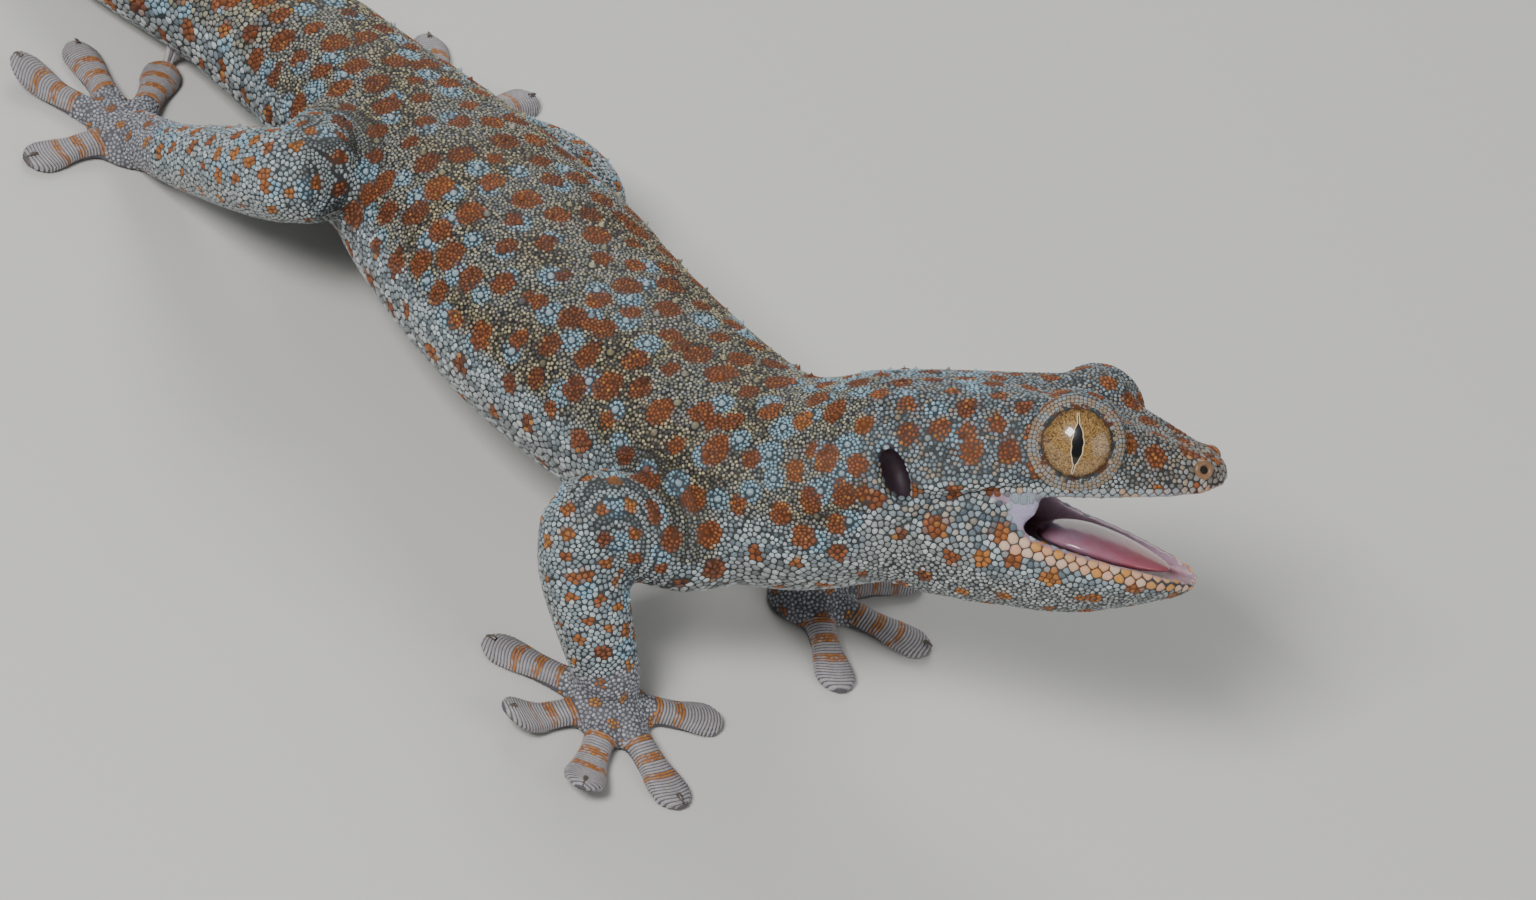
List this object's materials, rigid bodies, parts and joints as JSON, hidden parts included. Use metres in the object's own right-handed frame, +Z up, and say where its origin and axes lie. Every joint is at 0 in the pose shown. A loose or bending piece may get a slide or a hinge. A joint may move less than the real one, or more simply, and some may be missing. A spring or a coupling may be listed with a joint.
{
  "type": "gecko",
  "caption": "Life-size tokay gecko standing on splayed sticky feet with its head raised and turned, mouth open, as a still museum-style model.",
  "frame": {"origin": "on the floor, under the middle of the whole animal's box", "axes": "+X towards the head, +Y towards the animal's left, +Z up from the floor"},
  "size_m": [0.2858, 0.0856, 0.0629],
  "materials": {
    "scaly_skin": "dry blue-grey granular scales with rust-orange spots",
    "eye": "wet clear spectacle over a golden iris",
    "tongue": "wet pink tongue"
  },
  "bodies": {
    "root": {"eye_left": "eye", "eye_right": "eye", "forearm_left": "scaly_skin", "forearm_right": "scaly_skin", "forefoot_left": "scaly_skin", "forefoot_right": "scaly_skin", "head": "scaly_skin", "hindfoot_left": "scaly_skin", "hindfoot_right": "scaly_skin", "lower_jaw": "scaly_skin", "neck": "scaly_skin", "shin_left": "scaly_skin", "shin_right": "scaly_skin", "tail_1": "scaly_skin", "tail_2": "scaly_skin", "tail_3": "scaly_skin", "tail_4": "scaly_skin", "tail_5": "scaly_skin", "thigh_left": "scaly_skin", "thigh_right": "scaly_skin", "tongue": "tongue", "torso_front": "scaly_skin", "torso_rear": "scaly_skin", "upper_arm_left": "scaly_skin", "upper_arm_right": "scaly_skin"}
  },
  "joints": []
}
